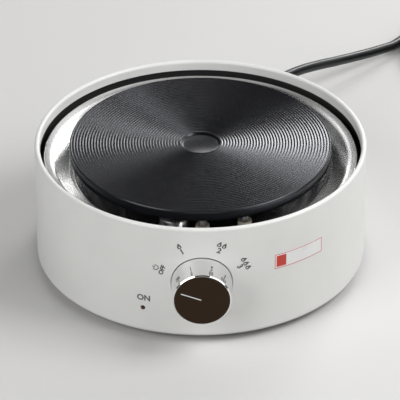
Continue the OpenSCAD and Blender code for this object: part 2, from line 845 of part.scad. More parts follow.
// Bridge that carries the plate, bolted to the base plate
module support_bracket() {
    low = foot_h + bracket_t / 2;
    high = bracket_z + bracket_t / 2;
    leg_x = bracket_x - bracket_t / 2;
    end_x = bracket_x + bracket_foot;
    color("silver")
        difference() {
            rotate([90, 0, 0]) linear_extrude(bracket_w, center = true)
                polygon(sheet(
                    [[-end_x, low], [-leg_x, low], [-leg_x, high], [leg_x, high], [leg_x, low], [end_x, low]],
                    [edge_bend, edge_bend, edge_bend, edge_bend], bracket_t));
            translate([0, 0, bracket_z - past]) cylinder(r = stud_hole_r, h = bracket_t + 2 * past);
            at_bracket_screws() translate([0, 0, foot_h - past])
                cylinder(d = bracket_screw_d + 2 * hole_gap, h = bracket_t + 2 * past);
        }
}

module bracket_screws() {
    color("silver")
        at_bracket_screws() translate([0, 0, base_z])
            pan_screw(bracket_screw_d, bracket_head_d, bracket_screw_tip_z - base_z);
}

module bracket_nuts() {
    color("silver")
        at_bracket_screws() translate([0, 0, foot_h + bracket_t])
            hex_nut(bracket_nut_flats, bracket_screw_d / 2 + fit_gap, bracket_nut_h);
}

// Thermal cut-out: an aluminium cap on the tray's floor
module cutout_cap() {
    flange_h = 1.2;
    step_w = 0.6;
    cap_r = cutout_d / 2 - step_w;
    color("lightgray")
        translate(bearing_point(cutout_r, cutout_bearing, floor_z))
            rotate_extrude()
                polygon([[0, 0], [cutout_d / 2, 0], [cutout_d / 2, flange_h], [cap_r, flange_h],
                    [cap_r, cutout_h - step_w], [cap_r - step_w, cutout_h], [0, cutout_h]]);
}

module cutout_body() {
    color("saddlebrown")
        translate(bearing_point(cutout_r, cutout_bearing, floor_z - cutout_body_h))
            cylinder(d = cutout_body_d, h = cutout_body_h);
}

// Lower ends of the cut-out's blades, where its wires join
function cutout_blade_end(side) =
    bearing_point(cutout_r, cutout_bearing, floor_z - cutout_body_h - blade_len)
        + [side * cutout_pitch / 2, 0, 0];

module cutout_blades() {
    color("goldenrod")
        for (side = [-1, 1])
            translate(cutout_blade_end(side) + [-blade_t / 2, -blade_w / 2, 0])
                cube([blade_t, blade_w, blade_len]);
}

// Closed rotary switch with a bush through the shell's well
module switch_body() {
    bore_depth = switch_depth - shaft_stop + past;
    corner = 3;
    color("darkolivegreen")
        on_wall(0, knob_z)
            difference() {
                union() {
                    translate([0, 0, switch_back_u]) linear_extrude(switch_depth)
                        rounded_rect(switch_w, switch_h, corner);
                    translate([0, 0, switch_u]) cylinder(d = switch_bush_d, h = shell_t);
                }
                translate([0, 0, switch_u - bore_depth])
                    cylinder(d = shaft_d + 2 * run_gap, h = bore_depth + 3 * shell_t);
                for (x = [-1, 1])
                    translate([x * switch_screw_pitch / 2, 0, switch_u - screw_depth])
                        cylinder(d = small_screw_d + 2 * fit_gap, h = screw_depth + past);
            }
}

module switch_blades() {
    color("goldenrod")
        for (x = tab_xs)
            translate([x - blade_w / 2, -switch_back_u, knob_z - tab_drop - blade_t / 2])
                cube([blade_w, blade_len, blade_t]);
}

module switch_screws() {
    color("silver")
        on_wall(0, knob_z)
            for (x = [-1, 1])
                translate([x * switch_screw_pitch / 2, 0, well_u])
                    rotate([180, 0, 0]) pan_screw(small_screw_d, small_head_d, screw_depth);
}

// Outline of the shaft's D section, grown by a gap
module shaft_section(gap) {
    difference() {
        circle(d = shaft_d + 2 * gap);
        translate([-shaft_d, shaft_d / 2 - shaft_flat + gap]) square([2 * shaft_d, shaft_d]);
    }
}

module switch_shaft() {
    from_u = switch_back_u + shaft_stop;
    color("silver")
        on_wall(0, knob_z) {
            translate([0, 0, from_u]) cylinder(d = shaft_d, h = flat_from_u - from_u);
            translate([0, 0, flat_from_u]) linear_extrude(shaft_tip_u - flat_from_u) shaft_section(0);
        }
}

// Bright metal cap of the knob, open behind and bevelled round a shallow seat for the face
module knob_cap() {
    r = knob_d / 2;
    inside_r = r - knob_wall;
    seat_r = face_r + run_gap;
    color("gainsboro")
        on_wall(0, knob_z)
            rotate_extrude()
                polygon([[0, cap_floor_u], [inside_r, cap_floor_u], [knob_back_r - knob_wall, knob_back_u],
                    [knob_back_r, knob_back_u], [r, face_u - knob_bevel], [r - knob_bevel, face_u],
                    [seat_r, face_u], [seat_r, face_u - face_t], [0, face_u - face_t]]);
}

// Hub of the knob: a web inside the cap, three ribs and a D bore for the shaft
module knob_core() {
    web_r = knob_d / 2 - knob_wall - fit_gap;
    hub_back_u = flat_from_u - 1;
    rib_t = 1.6;
    rib_h = 5;
    rib_clear = 0.5;
    tip_clear = 0.5;
    color("dimgray")
        on_wall(0, knob_z)
            difference() {
                union() {
                    translate([0, 0, cap_floor_u - knob_web]) cylinder(r = web_r, h = knob_web);
                    translate([0, 0, hub_back_u]) cylinder(d = hub_d, h = cap_floor_u - hub_back_u);
                    for (a = [30, 150, 270])
                        rotate([0, 0, a]) translate([0, -rib_t / 2, cap_floor_u - knob_web - rib_h])
                            cube([web_r - rib_clear, rib_t, rib_h + knob_web / 2]);
                }
                translate([0, 0, hub_back_u - past])
                    linear_extrude(shaft_tip_u + past - hub_back_u + tip_clear) shaft_section(run_gap);
                translate([0, 0, hub_back_u - past]) cylinder(d = shaft_d + 2 * fit_gap, h = 2 * past);
            }
}

module pointer_shape(gap) {
    rotate(pointer_angle) translate([pointer_len / 2 + pointer_from, 0])
        slot_shape(pointer_len + 2 * gap, pointer_w + 2 * gap);
}

// Dark polished face with a groove for the pointer
module knob_face() {
    color("black")
        on_wall(0, knob_z)
            difference() {
                translate([0, 0, face_u - face_t]) cylinder(r = face_r, h = face_t);
                translate([0, 0, face_u - pointer_t]) linear_extrude(pointer_t + past) pointer_shape(run_gap);
            }
}

module knob_pointer() {
    color("white")
        on_wall(0, knob_z) translate([0, 0, face_u - pointer_t]) linear_extrude(pointer_t) pointer_shape(0);
}

// Indicator lens through the shell, with a flange behind the wall
module indicator_lens() {
    color("darkred")
        on_wall(lens_bearing, lens_z)
            rotate_extrude()
                polygon([[0, lamp_u], [lens_flange_d / 2, lamp_u],
                    [lens_flange_d / 2, lens_seat_u], [lens_d / 2, lens_seat_u], [lens_d / 2, body_r],
                    [lens_d / 3, body_r + lens_out], [0, body_r + lens_out]]);
}

module indicator_lamp() {
    color("orange")
        on_wall(lens_bearing, lens_z) translate([0, 0, lamp_u - lamp_len]) cylinder(d = lamp_d, h = lamp_len);
}

// Two leads from the lamp: one to the switch, one to the neutral pole
module lamp_leads() {
    lead_d = 1.6;
    lead_below = 7;
    rear_u = lamp_u - lamp_len;
    inward = bearing_point(-1, lens_bearing, 0);
    across = [cos(lens_bearing), sin(lens_bearing), 0];
    rear = bearing_point(rear_u, lens_bearing, lens_z);
    to_switch = [tab_xs[0], tab_end_y, knob_z - tab_drop];
    to_block = block_pole(-1, -1) - [0, 0, lead_below];
    color("firebrick") {
        tube(wire_route(rear + across, inward * lamp_switch_reach[0], to_switch,
            [0, lamp_switch_reach[1], 0]), lead_d);
        tube(wire_route(rear - across, inward * lamp_block_reach[0], to_block,
            [0, -lamp_block_reach[1], 0]), lead_d);
    }
}

// Middle of a pole's opening in the terminal block: side -1 faces the front, 1 the cord
function block_pole(i, side) =
    [block_x + i * block_pitch, block_y + side * block_depth / 2, foot_h + block_h / 2];

module terminal_block() {
    rib = 2;
    well_d = 5.4;
    color("beige")
        difference() {
            translate([block_x, block_y, foot_h])
                difference() {
                    translate([-block_len / 2, -block_depth / 2, 0]) cube([block_len, block_depth, block_h]);
                    for (i = [-1, 1])
                        translate([i * block_pitch / 2, 0, block_h])
                            cube([rib, block_depth + past, block_h], center = true);
                    for (i = [-1:1])
                        translate([i * block_pitch, 0, block_h - screw_well])
                            cylinder(d = well_d, h = screw_well + past);
                }
            translate([block_x, block_y, foot_h - past])
                cylinder(d = small_screw_d + 2 * fit_gap, h = screw_depth + past);
        }
}

module terminal_screws() {
    screw_d = 4.6;
    screw_h = 2.6;
    slot_w = 0.8;
    color("goldenrod")
        for (i = [-1:1])
            translate([block_x + i * block_pitch, block_y, foot_h + block_h - screw_well])
                difference() {
                    cylinder(d = screw_d, h = screw_h);
                    translate([0, 0, screw_h]) cube([screw_d + past, slot_w, 2 * slot_w], center = true);
                }
}

module live_wire() {
    to = [tab_xs[1], tab_end_y, knob_z - tab_drop];
    color("brown")
        tube(wire_route(block_pole(0, -1), [0, -live_reach[0], 0], to, [0, live_reach[1], 0]), wire_d);
}

module neutral_wire() {
    color("royalblue")
        tube(wire_route(block_pole(-1, -1), [0, -neutral_reach[0], 0], cutout_blade_end(-1),
            [0, 0, -neutral_reach[1]]), wire_d);
}

// From the switch to the element's right leg
module element_wire() {
    from = [tab_xs[2], tab_end_y, knob_z - tab_drop];
    color("brown")
        tube(wire_route(from, [0, element_reach[0], 0], leg_end(1), [0, 0, -element_reach[1]]), wire_d);
}

// From the cut-out to the element's left leg
module cutout_wire() {
    color("royalblue")
        tube(wire_route(cutout_blade_end(1), [0, 0, -cutout_reach[0]], leg_end(0),
            [0, 0, -cutout_reach[1]]), wire_d);
}

// From the terminal block's side to the bracket's earth screw
module earth_wire() {
    from = [block_x + block_len / 2, block_y, foot_h + block_h / 2];
    to = [bracket_screw_x, bracket_screw_pitch / 2, bracket_screw_tip_z];
    color("yellowgreen")
        tube(wire_route(from, [earth_reach[0], 0, 0], to, [0, 0, earth_reach[1]]), wire_d);
}

// Three cores from the cord's stripped end to the terminal block
module supply_cores() {
    core_d = 2.2;
    end = bearing_point(cord_end_u, exit_bearing, exit_z);
    inward = bearing_point(-core_reach[0], exit_bearing, 0);
    across = [cos(exit_bearing), sin(exit_bearing), 0];
    lay = 1.4;
    color("peru")
        for (i = [-1:1])
            tube(wire_route(end - i * lay * across + [0, 0, lay * (0.4 - abs(i))], inward,
                block_pole(i, 1), [0, core_reach[1], 0]), core_d);
}

// Moulded strain relief: an inner collar, a neck in the shell and a ringed taper outside
module cord_gland() {
    collar_t = 3;
    ring_w = 1;
    ring_cut = 0.9;
    collar_r = relief_collar_d / 2;
    neck_r = relief_neck_d / 2;
    taper_from = relief_u + collar_t;
    taper_len = relief_tip_u - taper_from;
    function taper_r(up) = (relief_d + (relief_tip_d - relief_d) * up / taper_len) / 2;
    inside = [[0, relief_in_u], [collar_r, relief_in_u], [collar_r, collar_u], [neck_r, collar_u],
        [neck_r, relief_u], [collar_r, relief_u], [collar_r, taper_from], [taper_r(0), taper_from]];
    rings = [for (i = [1:relief_rings])
        let (
            up = i * taper_len / (relief_rings + 1),
            low = up - ring_w / 2,
            high = up + ring_w / 2
        )
        each [[taper_r(low), taper_from + low], [taper_r(up) - ring_cut, taper_from + low],
            [taper_r(up) - ring_cut, taper_from + high], [taper_r(high), taper_from + high]]];
    tip = [[relief_tip_d / 2, relief_tip_u], [0, relief_tip_u]];
    color("black")
        on_wall(exit_bearing, exit_z) rotate_extrude() polygon(concat(inside, rings, tip));
}

module inner_cord() {
    color("black")
        on_wall(exit_bearing, exit_z) translate([0, 0, cord_end_u])
            cylinder(d = cord_d, h = relief_in_u - cord_end_u);
}

// Clamp tower on the base plate, with half of the cord's bore
module cord_clamp() {
    color("beige")
        difference() {
            on_wall(exit_bearing, exit_z)
                difference() {
                    translate([-clamp_w / 2, -exit_up, clamp_u - clamp_t / 2])
                        cube([clamp_w, exit_up - fit_gap, clamp_t]);
                    cylinder(d = cord_d + 2 * fit_gap, h = body_r);
                    for (x = [-1, 1])
                        translate([x * clamp_pitch / 2, fit_gap, clamp_u]) rotate([90, 0, 0])
                            cylinder(d = small_screw_d + 2 * fit_gap, h = screw_depth);
                }
            translate(bearing_point(clamp_u, exit_bearing, foot_h - past))
                cylinder(d = small_screw_d + 2 * fit_gap, h = screw_depth + past);
        }
}

module clamp_cap() {
    color("beige")
        on_wall(exit_bearing, exit_z)
            difference() {
                translate([-clamp_w / 2, fit_gap, clamp_u - clamp_t / 2])
                    cube([clamp_w, clamp_cap_h, clamp_t]);
                cylinder(d = cord_d + 2 * fit_gap, h = body_r);
                for (x = [-1, 1])
                    translate([x * clamp_pitch / 2, clamp_cap_h + past, clamp_u]) rotate([90, 0, 0])
                        cylinder(d = small_screw_d + 2 * hole_gap, h = clamp_cap_h + 2 * past);
            }
}

module clamp_screws() {
    clamp_thread = screw_depth - past;
    color("silver")
        on_wall(exit_bearing, exit_z)
            for (x = [-1, 1])
                translate([x * clamp_pitch / 2, clamp_cap_h + fit_gap, clamp_u])
                    rotate([90, 0, 0]) pan_screw(small_screw_d, small_head_d, clamp_cap_h + clamp_thread);
}

// Free stretch of the cord from the strain relief to the coil
module cord_lead() {
    color("black") tube(lead_points, cord_d, 10);
}

// One unbroken tube: it spirals in on the lower layer, climbs, and spirals out on the upper one
function coil_point(t) =
    let (
        half = coil_turns / 2,
        r = coil_r - coil_step * (half - abs(t - half)),
        climb = min(max((t - half + 0.25) / 0.5, 0), 1),
        a = 90 - 360 * t
    )
    [coil_x + r * cos(a), coil_y + r * sin(a), coil_z + coil_step * (1 - cos(180 * climb)) / 2];
coil_points = [for (i = [0:coil_ring_steps * coil_turns]) coil_point(i / coil_ring_steps)];
coil_line = concat(
    [[coil_x - cord_d, coil_y + coil_r, coil_z]],
    coil_points,
    [[coil_x + coil_r, coil_y - cord_d, coil_top_z]]
);
coil_gap = min([for (i = [0:len(coil_line) - 1])
    for (j = [i + coil_ring_steps / 2:len(coil_line) - 1]) norm(coil_line[i] - coil_line[j])]) - cord_d;
echo(coil_gap_to_itself = coil_gap);

module cord_coil() {
    color("black") tube(coil_line, cord_d, 6);
}

module cord_tail() {
    color("black") tube(tail_points, cord_d, 10);
}

// Strap round the coil where its turns lie over each other
module cord_tie() {
    bearing = 225;
    turn = (360 + 90 - bearing) / 360;
    inner_turn = coil_r - coil_step * (turn + floor(coil_turns / 2 - turn));
    outer_turn = coil_r - coil_step * turn;
    room_side = 0.9;
    room_up = 0.4;
    w = outer_turn - inner_turn + cord_d + 2 * room_side;
    h = coil_step + cord_d + 2 * room_up;
    corner = 2.5;
    color("dimgray")
        translate([coil_x, coil_y, 0]) rotate([0, 0, bearing])
            translate([(outer_turn + inner_turn) / 2, 0, coil_z + coil_step / 2])
                rotate([90, 0, 0]) linear_extrude(tie_w, center = true)
                    difference() {
                        rounded_rect(w + 2 * tie_t, h + 2 * tie_t, corner + tie_t);
                        rounded_rect(w, h, corner);
                    }
}

// Puts its children at the plug: local Z runs from the cord's end to the pins, local Y up
module at_plug() {
    translate(tail_end) rotate([90, 0, 0]) children();
}

// Outline of the plug's body in one view, from the cord's side to the pins
function plug_outline(half) =
    let (
        neck = cord_d,
        shoulder = plug_relief + 0.55 * plug_len,
        front = plug_relief + plug_len,
        edge = 2,
        bulge = 6
    )
    rounded_outline(
        [[-neck, plug_relief], [neck, plug_relief], [half, shoulder], [half, front], [-half, front],
            [-half, shoulder]],
        [edge, edge, bulge, edge, edge, bulge]);

module plug_body() {
    color("black")
        at_plug() {
            intersection() {
                rotate([90, 0, 0]) linear_extrude(plug_h, center = true) polygon(plug_outline(plug_w / 2));
                rotate([90, 0, 90]) linear_extrude(plug_w, center = true) polygon(plug_outline(plug_h / 2));
            }
            cylinder(d1 = cord_d + 2, d2 = 2 * cord_d - 2, h = plug_relief);
        }
}

// Three flat pins: two slanted ones above, one upright below
module plug_pins() {
    from = plug_relief + plug_len;
    live_x = 6.9;
    live_up = 4.2;
    earth_down = 6.4;
    slant = 30;
    color("silver")
        at_plug() {
            for (x = [-1, 1])
                translate([x * live_x, live_up, from]) rotate([0, 0, x * slant])
                    translate([-pin_t / 2, -pin_w / 2, 0]) cube([pin_t, pin_w, pin_len]);
            translate([-pin_t / 2, -earth_down - pin_w / 2, from]) cube([pin_t, pin_w, earth_pin_len]);
        }
}

body_shell();
base_plate();
rubber_feet();
base_screws();
drip_tray();
heating_plate();
heating_element();
element_bushes();
plate_posts();
plate_sleeve();
plate_stud();
stud_washer();
stud_nut();
insulation_pad();
heat_shield();
support_bracket();
bracket_screws();
bracket_nuts();
cutout_cap();
cutout_body();
cutout_blades();
switch_body();
switch_blades();
switch_screws();
switch_shaft();
knob_cap();
knob_core();
knob_face();
knob_pointer();
indicator_lens();
indicator_lamp();
lamp_leads();
terminal_block();
terminal_screws();
live_wire();
neutral_wire();
element_wire();
cutout_wire();
earth_wire();
supply_cores();
cord_gland();
inner_cord();
cord_clamp();
clamp_cap();
clamp_screws();
cord_lead();
cord_coil();
cord_tail();
cord_tie();
plug_body();
plug_pins();
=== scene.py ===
"""Looks of the portable hot plate: camera, light, cord, plate, drip tray, marks and materials."""
import json
import math

import bpy
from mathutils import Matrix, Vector


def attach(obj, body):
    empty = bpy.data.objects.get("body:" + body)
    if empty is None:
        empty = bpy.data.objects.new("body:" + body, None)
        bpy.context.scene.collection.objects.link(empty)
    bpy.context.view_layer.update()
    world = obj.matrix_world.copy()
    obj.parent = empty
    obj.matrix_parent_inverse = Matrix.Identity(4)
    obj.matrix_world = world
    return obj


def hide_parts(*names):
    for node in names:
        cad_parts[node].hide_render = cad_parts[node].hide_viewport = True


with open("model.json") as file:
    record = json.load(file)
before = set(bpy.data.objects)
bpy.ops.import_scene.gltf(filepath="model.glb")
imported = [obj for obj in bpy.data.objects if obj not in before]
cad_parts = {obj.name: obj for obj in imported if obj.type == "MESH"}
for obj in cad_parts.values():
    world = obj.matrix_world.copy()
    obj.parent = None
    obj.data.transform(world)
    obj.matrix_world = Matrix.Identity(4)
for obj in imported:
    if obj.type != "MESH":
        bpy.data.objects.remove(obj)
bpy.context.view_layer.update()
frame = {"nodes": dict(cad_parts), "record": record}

MM = 0.001
BODY = "stove"

# Camera: the photograph's place, angle and framing
CAMERA_DISTANCE = 1.9
CAMERA_ELEVATION = 31.913
CAMERA_LEFT = 0.43
CAMERA_TARGET = (-0.0003, 0.0, 0.03505)
CAMERA_LENS = 295.7
CAMERA_SENSOR = 36.0
CAMERA_CLIP = (0.1, 30.0)

# Light: name, place, height that it aims at, width, height and power of each softbox
WORLD_LEVEL = 0.012
AIM_BODY, AIM_PLATE = 0.04, 0.07
SOFTBOXES = [
    ("key_right", (0.95, -0.15, 1.1), AIM_BODY, 0.8, 0.8, 13.5),
    ("fill_front", (0.1, -1.75, 0.5), AIM_BODY, 1.0, 0.6, 3.0),
    ("side_left", (-1.094, -0.985, 0.89), AIM_BODY, 1.0, 1.2, 15.8),
    ("side_right", (1.16, -0.906, 0.89), AIM_BODY, 1.0, 1.2, 6.5),
    ("panel_right", (0.925, 1.287, 0.80), AIM_PLATE, 1.5, 1.35, 6.0),
    ("strip_high", (0.635, 0.978, 0.976), AIM_PLATE, 0.3, 0.62, 1.45),
    ("strip_low", (0.521, 1.289, 0.571), AIM_PLATE, 0.24, 0.4, 2.65),
    ("strip_mid", (0.588, 1.153, 0.783), AIM_PLATE, 0.2, 0.3, 1.3),
    ("high_right", (0.397, 0.688, 1.337), AIM_PLATE, 0.4, 0.3, 0.3),
    ("high_back", (0.113, 1.073, 1.107), AIM_PLATE, 0.4, 0.3, 0.28),
    ("back_low", (-0.17, 1.45, 0.402), AIM_PLATE, 0.46, 0.34, 1.9),
    ("back_left", (-0.375, 1.18, 0.89), AIM_PLATE, 0.32, 0.46, 0.58),
    ("high_left", (-0.539, 1.015, 1.029), AIM_PLATE, 0.4, 0.4, 0.45),
]
FLOOR_HALF = 8

# Sizes of the part, in millimetres
BODY_R = 95.0
INSIDE_R = 93.9
HEM_Z = 69.2
WELL_Y = -92.4
KNOB_Z = 39.5
TURNED_SEGMENTS = 256

# Heating plate; the two edges give steps in from a radius and down from the top
PLATE_R = 75.0
PLATE_Z = 74.0
PLATE_CHAMFER = 0.9
PLATE_EDGE = [(0.9, 0.0), (0.585, 0.06), (0.27, 0.28), (0.06, 0.585), (0.0, 0.9)]
PLATE_SKIRT_Z = 68.0
PLATE_SKIRT_R = 69.0
PLATE_SKIRT_EDGE = 0.2
PLATE_WEB_Z = 69.5
PLATE_BOSS_R = 11.0
PLATE_BOSS_Z = 62.0
PLATE_BORE_R = 3.1
PLATE_SHARP = 60.0
ELEMENT_R = 61.0
ELEMENT_SEAT_R = 2.35
ELEMENT_Z = 68.45
ELEMENT_STEPS = 8
RECESS_R = 11.35
RECESS_DEPTH = 1.2
RECESS_EDGE = [(1.6, 1.2), (1.2, 1.1), (0.3, 0.25), (0.0, 0.05), (-0.25, 0.0)]
GROOVE_FROM = 11.95
GROOVE_COUNT = 37
GROOVE_DEPTH = 0.35
GROOVE_LONG = 0.75
GROOVE_STEPS = 8

# Drip tray: the centre line of its sheet from the lip to the middle hole, and its bends
TRAY_T = 0.7
TRAY_PATH = [
    (89.85, 64.8), (89.85, 66.65), (85.4, 65.65), (75.5, 59.55), (73.0, 55.15), (3.2, 55.15)]
TRAY_BENDS = [0.8, 10.0, 3.0, 3.0]
TRAY_BEND_STEPS = 20
TRAY_SHARP = 50.0

# Cord: its route in millimetres, as the solids have it
CORD_D = 6.2
CORD_EXIT = (30.036, 112.096, 24.0)
LEAD_POINTS = [
    CORD_EXIT, (31.628, 118.036, 24), (35.5, 131.5, 24.2), (40.5, 143.5, 24.2), (47, 155, 23.9),
    (55.5, 166, 22.9), (64.5, 176, 21.2), (75, 185.8, 18.8), (86, 195.2, 16.1), (97, 205.3, 13.2),
    (107.5, 215, 10.6), (117, 224.5, 8.2), (125.5, 233.8, 5.9), (132.5, 245, 4.2),
    (141, 256.5, 3.6), (153, 265.8, 3.8), (164.6, 269.2, 4.1), (170.8, 269.2, 4.1),
]
COIL_CENTRE = (177.0, 228.0)
COIL_R = 41.2
COIL_STEP = 6.9
COIL_TURNS = 4.25
COIL_CLIMB = 0.5
COIL_Z = 4.1
COIL_RINGS = 24
TAIL_POINTS = [
    (218.2, 221.8, 11.0), (218.2, 212, 11.0), (217.5, 202, 11.5), (216, 192, 12.7),
    (214.5, 182, 13.6), (214, 174, 14), (214, 168, 14),
]
CORD_SPACING = 2.0
CORD_ROUNDING = 6

# Dial marks: sizes in millimetres round the knob, directions in degrees from the right
DIAL_STEPS = {"off": 161.0, "low": 117.8, "mid": 66.0, "high": 25.0}
DIAL_FLAMES = {"low": 1, "mid": 2, "high": 3}
INK_LOW, INK_HIGH = -0.03, 0.04
INK_WEIGHT = 0.16
SIGN_R, FIGURE_R = 27.3, 23.4
FIGURE_SIZE, OFF_SIZE, ON_SIZE = 4.6, 3.6, 5.0
ON_BEARING, ON_Z = -19.9, 26.7
LETTER_STEPS = 4
FLAME_GAP = 3.0
FLAME_STEPS = 28
FLAME_OUTER = (2.9, 3.5, -1.7, 0.35)
FLAME_INNER = (1.1, 1.4, -1.2, 0.1)
FLAME_TAPER, FLAME_BELLY, FLAME_FALL = 0.35, 1.25, 0.75
POWER_OUTER, POWER_INNER = 1.75, 1.25
POWER_GAP = 36
POWER_STEPS = 30
POWER_BAR = [(-0.25, 0.2), (0.25, 0.2), (0.25, 2.0), (-0.25, 2.0)]

# Bare label film on the wall: a red outline and a plain red block at its left end
LABEL_BEARING, LABEL_Z = 35.1, 47.8
LABEL_W, LABEL_H = 32.6, 9.2
LABEL_COLUMNS = 36
FILM_LOW, FILM_HIGH = -0.03, 0.06
FRAME_LOW, FRAME_HIGH = 0.05, 0.085
FRAME_W = 0.35
BLOCK_FROM, BLOCK_TO, BLOCK_EDGE = 1.1, 7.2, 1.0
BLOCK_COLUMNS = 8

# Finishes: noise scales are in features to a metre, depths of bumps in millimetres
NOISE_LOW, NOISE_HIGH = 0.3, 0.7
FINE_DETAIL = 2.0
RING_MIX = 0.6
RING_TURN = 0.002
TURNED_PATCH = 40.0
GRAINED_PATCH = 60.0
METAL_PATCH = 90.0
INK_PATCH = 400.0
PAINT_DARK, PAINT_LIGHT = (0.775, 0.777, 0.757), (0.82, 0.82, 0.80)
# Near black for the shell's inner wall below the hem: painted shade for the gap between shell and
# tray
PAINTED_SHADE_INSIDE = (0.036, 0.036, 0.036)
PAINT_PATCH, PAINT_PEEL, PEEL_DEPTH = 35.0, 1400.0, 0.012
PAINT_ROUGH = (0.33, 0.40)
PLATE_DARK, PLATE_LIGHT = (0.0034, 0.0036, 0.0048), (0.0056, 0.0059, 0.0076)
PLATE_RECESS = (0.012, 0.0123, 0.0145)
PLATE_RINGS, PLATE_RING_DEPTH = 2600.0, 0.01
PLATE_SAND, PLATE_SAND_DEPTH = 2500.0, 0.006
PLATE_TINT = 28.0
PLATE_ROUGH = (0.225, 0.265)
FLOOR_DARK, FLOOR_LIGHT = (0.66, 0.655, 0.645), (0.70, 0.695, 0.685)
FLOOR_BOUNCE = (0.34, 0.335, 0.33)
FLOOR_PATCH = 4.0


def scaled(point):
    """A point given in millimetres, in metres."""
    return Vector(point) * MM


def add_object(name, data):
    piece = bpy.data.objects.new(name, data)
    bpy.context.scene.collection.objects.link(piece)
    return piece


# Camera, light and floor


def add_camera():
    data = bpy.data.cameras.new("photo_camera")
    data.sensor_width = CAMERA_SENSOR
    data.lens = CAMERA_LENS
    data.clip_start, data.clip_end = CAMERA_CLIP
    camera = add_object("photo_camera", data)
    elevation, left = math.radians(CAMERA_ELEVATION), math.radians(CAMERA_LEFT)
    level = math.cos(elevation)
    toward = Vector((-level * math.sin(left), -level * math.cos(left), math.sin(elevation)))
    camera.location = Vector(CAMERA_TARGET) + CAMERA_DISTANCE * toward
    camera.rotation_euler = (math.pi / 2 - elevation, 0.0, -left)
    bpy.context.scene.camera = camera


def add_world(level):
    """A plain level of light from all round."""
    world = bpy.data.worlds.new("studio")
    bpy.context.scene.world = world
    world.use_nodes = True
    background = world.node_tree.nodes["Background"]
    background.inputs["Color"].default_value = (1.0, 1.0, 1.0, 1.0)
    background.inputs["Strength"].default_value = level


def add_softbox(name, place, aim_z, width, height, energy):
    """A rectangular lamp that aims at a height on the object's axis."""
    data = bpy.data.lights.new(name, "AREA")
    data.shape = "RECTANGLE"
    data.size = width
    data.size_y = height
    data.energy = energy
    lamp = add_object(name, data)
    lamp.location = place
    toward = Vector((0.0, 0.0, aim_z)) - Vector(place)
    lamp.rotation_euler = toward.to_track_quat("-Z", "Y").to_euler()


def add_floor():
    mesh = bpy.data.meshes.new("floor")
    far = FLOOR_HALF
    mesh.from_pydata(
        [(-far, -far, 0), (far, -far, 0), (far, far, 0), (-far, far, 0)], [], [(0, 1, 2, 3)])
    mesh.materials.append(pale_floor().material)
    add_object("floor", mesh)


# Materials


class Look:
    """A node material round one Principled shader."""

    def __init__(self, name, color, roughness, metallic=0.0, **fixed):
        self.name = name
        self.material = bpy.data.materials.new(name)
        self.material.use_nodes = True
        self.nodes = self.material.node_tree.nodes
        self.links = self.material.node_tree.links
        self.shader = self.nodes["Principled BSDF"]
        self.set("Base Color", (*color, 1.0))
        self.set("Roughness", roughness)
        self.set("Metallic", metallic)
        for socket, value in fixed.items():
            self.set(socket.replace("_", " "), value)
        self.material.diffuse_color = (*color, 1.0)

    def set(self, socket, value):
        self.shader.inputs[socket].default_value = value

    def feed(self, socket, value):
        """Links a socket to a node's output, or sets it to a value."""
        if isinstance(value, bpy.types.NodeSocket):
            self.links.new(value, socket)
        else:
            socket.default_value = value

    def add(self, kind, **inputs):
        node = self.nodes.new(kind)
        for socket, value in inputs.items():
            self.feed(node.inputs[socket.replace("_", " ")], value)
        return node

    def place(self):
        return self.add("ShaderNodeTexCoord").outputs["Object"]

    def math(self, operation, a, b=0.0):
        node = self.nodes.new("ShaderNodeMath")
        node.operation = operation
        for socket, value in zip(node.inputs, (a, b)):
            self.feed(socket, value)
        return node.outputs[0]

    def split(self, vector):
        return self.add("ShaderNodeSeparateXYZ", Vector=vector).outputs

    def length(self, a, b):
        squares = self.math("ADD", self.math("MULTIPLY", a, a), self.math("MULTIPLY", b, b))
        return self.math("SQRT", squares)

    def noise(self, vector, scale, detail=3.0, roughness=0.5):
        node = self.add(
            "ShaderNodeTexNoise", Vector=vector, Scale=scale, Detail=detail, Roughness=roughness)
        return node.outputs["Fac"]

    def ranged(self, noise, low=0.0, high=1.0):
        """A noise's middle span, stretched to run from low to high."""
        node = self.add(
            "ShaderNodeMapRange", Value=noise, From_Min=NOISE_LOW, From_Max=NOISE_HIGH,
            To_Min=low, To_Max=high)
        return node.outputs["Result"]

    def blend(self, factor, low, high):
        """Colour that runs from low to high; either may be a colour or a socket."""
        node = self.nodes.new("ShaderNodeMix")
        node.data_type = "RGBA"
        self.links.new(factor, node.inputs["Factor"])
        ends = [s for s in node.inputs if s.type == "RGBA"]
        for socket, value in zip(ends, (low, high)):
            self.feed(socket, (*value, 1.0) if isinstance(value, tuple) else value)
        return next(s for s in node.outputs if s.type == "RGBA")

    def drive(self, socket, output):
        self.links.new(output, self.shader.inputs[socket])

    def bump(self, height, depth, under=None):
        """Normal of a height field, its depth in millimetres, over another normal if given."""
        node = self.add("ShaderNodeBump", Height=height, Strength=1.0, Distance=depth * MM)
        if under is not None:
            self.links.new(under, node.inputs["Normal"])
        return node.outputs["Normal"]

    def round_axis(self, axis):
        """Coordinates for marks that run round an axis, and the distance from it."""
        x, y, z = self.split(self.place())
        if axis == "Z":
            a, b, along = x, y, z
        else:
            a, b, along = x, self.math("SUBTRACT", z, KNOB_Z * MM), y
        distance = self.length(a, b)
        turn = self.math("MULTIPLY", self.math("ARCTAN2", b, a), RING_TURN)
        vector = self.add("ShaderNodeCombineXYZ", X=distance, Y=turn, Z=along).outputs["Vector"]
        return vector, distance


def grained(
        name, light, dark, roughness, spread, grain, depth, metallic=0.0, patch=GRAINED_PATCH,
        **fixed):
    """Painted, moulded or plated finish: slow colour patches, uneven gloss and a fine grain."""
    look = Look(name, light, roughness, metallic, **fixed)
    place = look.place()
    patches = look.noise(place, patch)
    fine = look.noise(place, grain, FINE_DETAIL)
    look.drive("Base Color", look.blend(look.ranged(patches), dark, light))
    look.drive("Roughness", look.ranged(patches, roughness - spread, roughness + spread))
    look.drive("Normal", look.bump(fine, depth))
    return look


